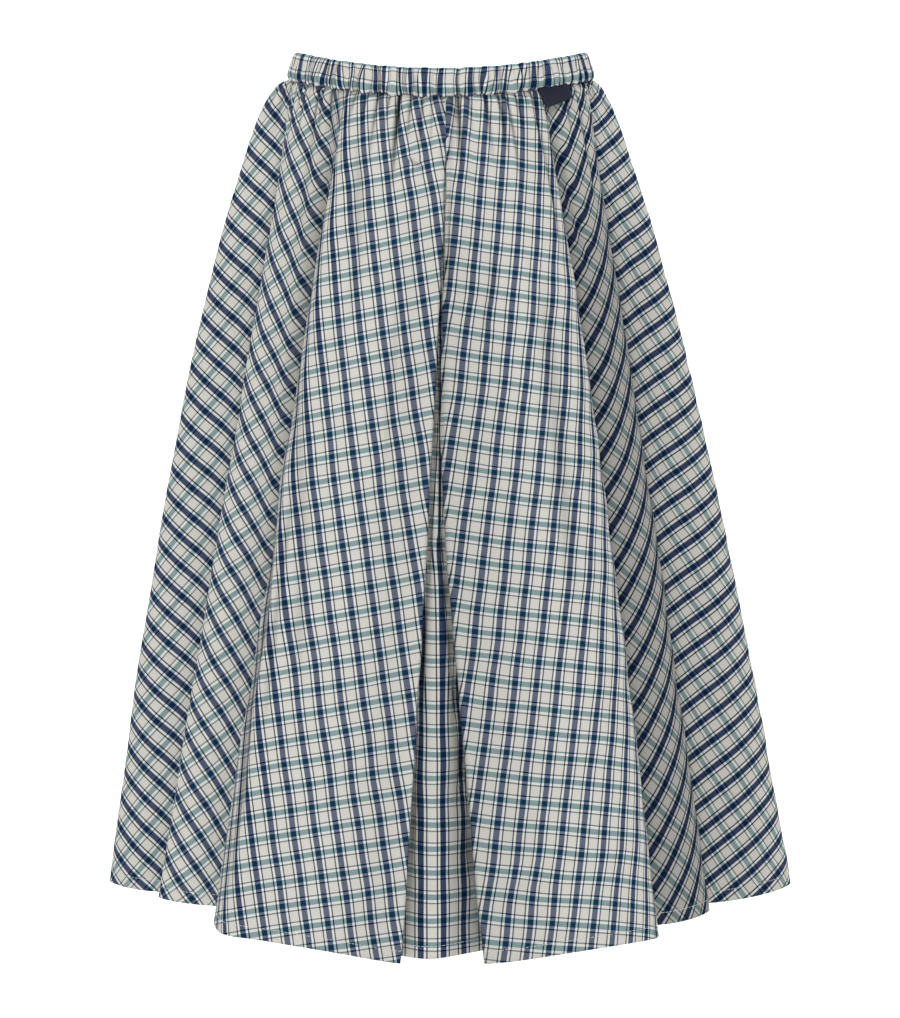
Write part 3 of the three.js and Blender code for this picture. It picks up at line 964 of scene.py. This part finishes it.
# The waistband: a casing drawn up by its elastic. Millimetres where nothing else is said.
waistband = {
    "columns": 1000,
    "seed": 11,
    "ruche": 1.60,              # cloth a metre of band
    "fallEase": 1.08,           # cloth a metre of height
    "pinch": (1.0, 3.6),
    "pinchSpacing": (3.8, 8.5),
    "pinchClear": 3.4,          # none is added so near to one that is there
    "pinchWidth": (0.8, 1.5),
    "slant": 3.6,               # how far a pinch may lean, and bow, over the height
    "bow": 2.0,
    "topShare": (0.3, 1.0),     # how much of its depth is left at its two ends
    "bottomShare": (0.6, 1.0),
    "clothWidth": 1.3,          # how much wider than a pinch is the cloth in it
    "pullWidth": 2.6,           # how far beside it the edges are drawn in
    "liftPlace": (2.5, 3.2),    # the belly beside a pinch: how far off, half width
    "liftBulge": 0.10,
    "clothInPinch": 1.1,        # how much more cloth is spent where it is pinched
    "taper": 5.5,               # how far each side leans in from the seam to the top edge
    "taperPower": 1.3,
    "shade": 0.13,              # painted shade: how much darker a millimetre of depth makes a pinch
    "shadeFrom": 0.9,
    # painted shadow along the band's lower seam
    "seamShade": 0.2,
    "seamShadeIn": (0.95, 1.0), # down the height as a share
    "darkest": 0.6,
    # degrees from centre front, depth
    "deepPinches": [
        (-15.2, 3.6), (-10.8, 3.2), (7.0, 4.2), (12.8, 4.2), (18.8, 3.0), (23.0, 2.6),
        (42.0, 3.4), (-36.0, 3.0), (-52.0, 3.0), (-27.0, 2.6),
    ],
    "edgeWave": (1.1, 3.0),     # how far the pinches draw the top edge down, and the bellies hang
    "topWaveOut": (0.0, 0.3),   # down the height as a share
    "bottomWaveIn": (0.6, 1.0),
    "weftWave": 1.3,
    "away": 1.0,                # painted shade on its navy warp, as much as where the cloth turns away
    "wall": 3.0,
    "innerPinch": 0.35,         # the elastic side lies smoother
    "innerTurn": 1.1,           # how far its two edges turn to the face
    # down the height as a share, bulge outwards, pinch share
    "profile": [
        (0.0, -1.3, 0.25), (0.015, -0.3, 0.45), (0.05, 0.7, 0.65), (0.1, 1.2, 0.85),
        (0.17, 1.5, 1.0), (0.25, 1.6, 0.95), (0.33, 1.65, 0.85), (0.42, 1.7, 0.8),
        (0.5, 1.8, 0.8), (0.58, 2.0, 0.85), (0.66, 2.3, 0.95), (0.74, 2.5, 1.05),
        (0.82, 2.4, 1.2), (0.89, 1.9, 1.35), (0.94, 1.2, 1.4), (0.975, 0.3, 1.3),
        (1.0, -0.9, 1.0),
    ],
}


# The band's path round the waist, one place for each column.
class BandRing:
    def __init__(self):
        self.angle = np.linspace(-180, 180, waistband["columns"], endpoint=False)
        x, y, self.rise = waistPlace(self.angle)
        self.points = np.stack([x, y, self.rise], 1)
        self.step = np.linalg.norm(np.roll(self.points, -1, 0) - self.points, axis=1)
        self.run = np.concatenate([[0], np.cumsum(self.step)])[:-1] / mm
        self.total = self.step.sum() / mm
        outX, outY = x / waist["halfWidth"] ** 2, y / waist["halfDepth"] ** 2
        size = np.hypot(outX, outY)
        self.out = np.stack([outX / size, outY / size, 0 * size], 1)


def bandPinches(ring, rng):
    found = [(float(np.interp(degrees, ring.angle, ring.run)), depth)
             for degrees, depth in waistband["deepPinches"]]
    position = 0.0
    while position < ring.total - 4:
        position += rng.uniform(*waistband["pinchSpacing"])
        if min(abs(position - other[0]) for other in found) > waistband["pinchClear"]:
            found.append((position, rng.uniform(*waistband["pinch"])))
    return found


def ruche(ring, down):
    # how deep the band is pinched, the cloth in it, how it is drawn in and how it bellies
    sizes = waistband
    rng = np.random.default_rng(sizes["seed"])
    pinched, taken, pull, lift = np.zeros((4, len(down), len(ring.run)))
    liftPlace, liftWidth = sizes["liftPlace"]
    for position, depth in bandPinches(ring, rng):
        width = rng.uniform(*sizes["pinchWidth"])
        slant = rng.uniform(-sizes["slant"], sizes["slant"])
        top, bottom = rng.uniform(*sizes["topShare"]), rng.uniform(*sizes["bottomShare"])
        bow = rng.uniform(-sizes["bow"], sizes["bow"])
        aside = ring.run - position - slant * (down - 0.5) - bow * np.sin(math.pi * down)
        aside = (aside + ring.total / 2) % ring.total - ring.total / 2
        reach = depth * (top + (bottom - top) * down)
        pinched += reach * np.exp(-(aside / width) ** 2)
        taken += reach * np.exp(-(aside / (width * sizes["clothWidth"])) ** 2)
        pull += reach * np.exp(-(aside / sizes["pullWidth"]) ** 2)
        lift += rng.uniform(-1, 1) * np.exp(-((aside - liftPlace) / liftWidth) ** 2)
    return pinched, taken, pull, lift


def bandEdges(down, pull, lift):
    # how far each point moves up or down, so that the edges wave
    topWave, bottomWave = waistband["edgeWave"]
    drawn = np.clip(pull / waistband["pinch"][1], 0, 1.2)
    belly = np.clip(0.8 + 0.4 * lift, 0, 1.2) * (1.1 - drawn)
    top = topWave * drawn * (1 - band(down, *waistband["topWaveOut"]))
    return -top - bottomWave * belly * band(down, *waistband["bottomWaveIn"])


def bandFaces(ring, down, bulge, share, pinched, lift, edge):
    sizes = waistband
    lean = sizes["taper"] * mm * (1 - down) ** sizes["taperPower"]
    lean = lean * np.sin(np.radians(ring.angle))
    height = waist["bandHeight"] * down
    stand = (bulge * (1 + sizes["liftBulge"] * lift) - pinched * share) * mm
    outer = ring.points + ring.out * stand[..., None]
    outer[..., 0] -= lean
    outer[..., 2] += edge * mm - height
    smoother = sizes["innerPinch"] * pinched.mean(0) * np.sin(math.pi * down)
    inside = -(sizes["wall"] + smoother) * mm
    inside[[0, -1]] += sizes["innerTurn"] * mm
    inner = ring.points + ring.out * inside[..., None]
    inner[..., 0] -= lean
    inner[..., 2] += edge[0] * mm * (1 - down) - height
    return outer, inner


def bandGrain(ring, down, taken, lift):
    # more cloth is spent where it is pinched, and the whole ring is a whole number of repeats
    sizes = waistband
    height = waist["bandHeight"] * down
    spend = 1 + sizes["clothInPinch"] * taken / taken.mean(1, keepdims=True)
    along = np.cumsum(spend * ring.step, 1)
    repeats = round(sizes["ruche"] * ring.total * mm / checkCloth["warpRepeat"])
    length = repeats * checkCloth["warpRepeat"]
    along *= length / along[:, -1:]
    along -= along[:, :1]
    slope = np.gradient(ring.rise) / (np.gradient(ring.run) * mm)
    wave = sizes["weftWave"] * mm * lift * np.sin(math.pi * np.clip(down, 0.08, 0.92))
    return np.stack([along + slope * height, height * sizes["fallEase"] + wave], 2), length


def makeWaistband():
    sizes = waistband
    ring = BandRing()
    down, bulge, share = np.array(sizes["profile"]).T[..., None]
    pinched, taken, pull, lift = ruche(ring, down)
    edge = bandEdges(down, pull, lift)
    outer, inner = bandFaces(ring, down, bulge, share, pinched, lift, edge)
    flat, length = bandGrain(ring, down, taken, lift)
    # painted shade: the band is darkened in its deep pinches and along its lower seam
    seam = sizes["seamShade"] * band(down, *sizes["seamShadeIn"])
    paintedShade = sizes["shade"] * (pinched - sizes["shadeFrom"]) + seam
    paintedShade = np.clip(paintedShade, 0, sizes["darkest"])
    return shell("waistband_cloth", outer, inner, flat, sizes["away"], paintedShade, length)


bandPiece = dress(makeWaistband(), "waistband", checkMaterial)
print("waistband made")


# The bare label, sewn into the seam under the band.
label = {
    "from": 38.0,                       # degrees from centre front
    "to": 53.5,
    "drop": (16.5 * mm, 11.5 * mm),     # at its two sides
    "wall": 0.7 * mm,
    "tuck": 0.7 * mm,                   # how far its top edge rises above the seam
    "standOff": 0.8 * mm,               # from the band's face, at its top edge
    "flare": 0.62,                      # how far it leans out, a metre of drop
    "columns": 34,
    "rows": 20,
    "curl": 0.9 * mm,
    "curlTurn": (4.2, 0.6),             # radians across it, and at its first side
}


def labelFace(offset):
    sizes = label
    across = np.linspace(0, 1, sizes["columns"])
    down = np.linspace(0, 1, sizes["rows"])[:, None]
    angle = sizes["from"] + (sizes["to"] - sizes["from"]) * across
    drop = (sizes["drop"][0] + (sizes["drop"][1] - sizes["drop"][0]) * across) * down
    turn, start = sizes["curlTurn"]
    curl = sizes["curl"] * down ** 2 * np.cos(across * turn + start)
    stand = sizes["standOff"] + sizes["flare"] * drop + offset + curl
    x, y, rise = waistPlace(angle, -stand)
    z = rise - waist["bandHeight"] - drop + sizes["tuck"]
    return np.stack([x, y, z], 2)


labelOuter, labelInner = labelFace(label["wall"]), labelFace(0.0)
labelWidth = float(np.linalg.norm(np.diff(labelOuter[0], axis=0), axis=1).sum())
labelFlat = np.stack(np.meshgrid(np.linspace(0, labelWidth, label["columns"]),
                                 np.linspace(0, label["drop"][0], label["rows"])), 2)
labelPiece = dress(shell("label_cloth", labelOuter, labelInner, labelFlat, 0.0, 0.0),
                   "label", labelMaterial)
print("label made")


# Stitches: a Geometry Nodes tree lays them along a path.
def stitchTree():
    tree = bpy.data.node_groups.new("stitchRow", "GeometryNodeTree")
    sockets = tree.interface
    sockets.new_socket(name="Geometry", in_out="OUTPUT", socket_type="NodeSocketGeometry")
    sockets.new_socket(name="Path", in_out="INPUT", socket_type="NodeSocketGeometry")
    for name in ("Pitch", "Stitch Length", "Thread Radius"):
        sockets.new_socket(name=name, in_out="INPUT", socket_type="NodeSocketFloat")
    sockets.new_socket(name="Thread", in_out="INPUT", socket_type="NodeSocketMaterial")

    def add(kind, settings=None, links=None):
        node = tree.nodes.new(kind)
        for key, value in (settings or {}).items():
            setattr(node, key, value)
        for key, source in (links or {}).items():
            if hasattr(source, "is_linked"):
                tree.links.new(source, node.inputs[key])
            else:
                node.inputs[key].default_value = source
        return node

    given = add("NodeGroupInput")
    curve = add("GeometryNodeMeshToCurve", None, {0: given.outputs["Path"]})
    points = add("GeometryNodeCurveToPoints", {"mode": "LENGTH"},
                 {"Curve": curve.outputs[0], "Length": given.outputs["Pitch"]})
    turn = add("FunctionNodeAlignRotationToVector", {"axis": "Z"}, {"Vector": points.outputs["Tangent"]})
    bead = add("GeometryNodeMeshUVSphere", None, {"Segments": 6, "Rings": 5, "Radius": 1.0})
    half = add("ShaderNodeMath", {"operation": "MULTIPLY"}, {0: given.outputs["Stitch Length"], 1: 0.5})
    size = add("ShaderNodeCombineXYZ", None, {0: given.outputs["Thread Radius"],
                                              1: given.outputs["Thread Radius"], 2: half.outputs[0]})
    copies = add("GeometryNodeInstanceOnPoints", None,
                 {"Points": points.outputs["Points"], "Instance": bead.outputs[0],
                  "Rotation": turn.outputs[0], "Scale": size.outputs[0]})
    real = add("GeometryNodeRealizeInstances", None, {0: copies.outputs[0]})
    smooth = add("GeometryNodeSetShadeSmooth", None, {0: real.outputs[0]})
    dressed = add("GeometryNodeSetMaterial", None,
                  {"Geometry": smooth.outputs[0], "Material": given.outputs["Thread"]})
    add("NodeGroupOutput", None, {0: dressed.outputs[0]})
    return tree


stitchRow = stitchTree()


def stitches(name, paths, sizes, thread):
    points = np.concatenate(paths)
    edges, start = [], 0
    for path in paths:
        edges += [(start + k, start + k + 1) for k in range(len(path) - 1)]
        start += len(path)
    mesh = bpy.data.meshes.new(name + "_path")
    mesh.from_pydata(points.tolist(), edges, [])
    holder = bpy.data.objects.new(name + "_path", mesh)
    bpy.context.scene.collection.objects.link(holder)
    modifier = holder.modifiers.new("stitches", "NODES")
    modifier.node_group = stitchRow
    inputs = {item.name: item.identifier for item in stitchRow.interface.items_tree
              if item.in_out == "INPUT"}
    modifier[inputs["Pitch"]] = sizes["pitch"]
    modifier[inputs["Stitch Length"]] = sizes["length"]
    modifier[inputs["Thread Radius"]] = sizes["radius"]
    modifier[inputs["Thread"]] = thread
    evaluated = holder.evaluated_get(bpy.context.evaluated_depsgraph_get())
    made = bpy.data.meshes.new_from_object(evaluated)
    made.name = name
    bpy.data.objects.remove(holder)
    thing = bpy.data.objects.new(name, made)
    bpy.context.scene.collection.objects.link(thing)
    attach(thing, "root")
    return thing


hemStitch = {
    "pitch": 3.6 * mm, "length": 2.9 * mm, "radius": 0.24 * mm, "above": 10 * mm, "out": 0.1 * mm,
}
labelStitch = {
    "pitch": 1.5 * mm, "length": 1.2 * mm, "radius": 0.16 * mm, "inset": 0.07, "out": 0.05 * mm,
}


def hemPath(made):
    levels, face = made["levels"], made["face"]
    want = 1 - hemStitch["above"] / clothDrop
    low = int(np.searchsorted(levels, want)) - 1
    share = (want - levels[low]) / (levels[low + 1] - levels[low])
    line = face[low] * (1 - share) + face[low + 1] * share
    return (line + made["out"][low] * hemStitch["out"])[2:-2]


def labelPath(column):
    way = labelOuter[:, column] + outward(labelOuter)[:, column] * labelStitch["out"]
    return way[1:-1]


hemRows = [hemPath(front), hemPath(back)]
insetColumns = int(round(label["columns"] * labelStitch["inset"]))
labelRows = [labelPath(insetColumns), labelPath(label["columns"] - 1 - insetColumns)]
hemThread = stitches("hem_stitches", hemRows, hemStitch, seamThread)
labelThreads = stitches("label_stitches", labelRows, labelStitch, labelThread)
print("stitches made")


# Studio: a pale sweep, soft lights and a camera that looks a little down.
studio = {
    "floorDrop": 0.30,          # below the hem
    "floorColour": (0.94, 0.94, 0.935, 1),
    "floorHalfWidth": 7.0,
    "floorNear": -6.0,
    "sweepStart": 2.2,          # where the floor turns up behind the skirt
    "sweepRadius": 1.4,
    "sweepSteps": 16,
    "sweepFrom": 0.1,           # radians, where its first step ends
    "wallTop": 5.0,
    "world": 0.42,
    "lights": [
        # name, place, aimed at, size, watts
        ("key_light", (-0.25, -3.1, 1.75), (0, 0, -0.15), 1.3, 63.5),
        ("backdrop_light", (0.0, 1.5, 2.4), (0, 3.0, -0.9), 3.0, 135),
    ],
    "cameraPlace": (0.0077, -2.400, -0.040),
    "cameraTilt": 82.124,       # degrees up from straight down
    "lens": 100.1,
    "sensor": 36,
}


def makeFloor():
    low = waist["hem"] - studio["floorDrop"]
    start, radius, side = studio["sweepStart"], studio["sweepRadius"], studio["floorHalfWidth"]
    outline = [(studio["floorNear"], low), (start, low)]
    outline += [(start + radius * math.sin(a), low + radius * (1 - math.cos(a)))
                for a in np.linspace(studio["sweepFrom"], math.pi / 2, studio["sweepSteps"])]
    outline.append((start + radius, studio["wallTop"]))
    points = [(x, y, z) for y, z in outline for x in (-side, side)]
    quads = [(2 * k, 2 * k + 1, 2 * k + 3, 2 * k + 2) for k in range(len(outline) - 1)]
    mesh = bpy.data.meshes.new("studio_floor")
    mesh.from_pydata(points, [], quads)
    mesh.shade_smooth()
    floor = bpy.data.objects.new("studio_floor", mesh)
    bpy.context.scene.collection.objects.link(floor)
    finish = Finish("studio_floor", Roughness=0.9, Specular_IOR_Level=0.1)
    finish.give("Base Color", studio["floorColour"])
    mesh.materials.append(finish.material)


def makeLights():
    world = bpy.data.worlds.new("studio_world")
    world.use_nodes = True
    world.node_tree.nodes["Background"].inputs[0].default_value = (1, 1, 1, 1)
    world.node_tree.nodes["Background"].inputs[1].default_value = studio["world"]
    bpy.context.scene.world = world
    for name, place, aim, size, watts in studio["lights"]:
        data = bpy.data.lights.new(name, "AREA")
        data.size = size
        data.energy = watts
        lamp = bpy.data.objects.new(name, data)
        lamp.location = place
        away = lamp.location - type(lamp.location)(aim)
        lamp.rotation_euler = away.to_track_quat("Z", "Y").to_euler()
        bpy.context.scene.collection.objects.link(lamp)


def makeCamera():
    data = bpy.data.cameras.new("studio_camera")
    data.sensor_width = studio["sensor"]
    data.lens = studio["lens"]
    camera = bpy.data.objects.new("studio_camera", data)
    camera.location = studio["cameraPlace"]
    camera.rotation_euler = (math.radians(studio["cameraTilt"]), 0, 0)
    bpy.context.scene.collection.objects.link(camera)
    bpy.context.scene.camera = camera


makeFloor()
makeLights()
makeCamera()
bpy.context.scene.view_settings.view_transform = "Standard"
print("studio made")
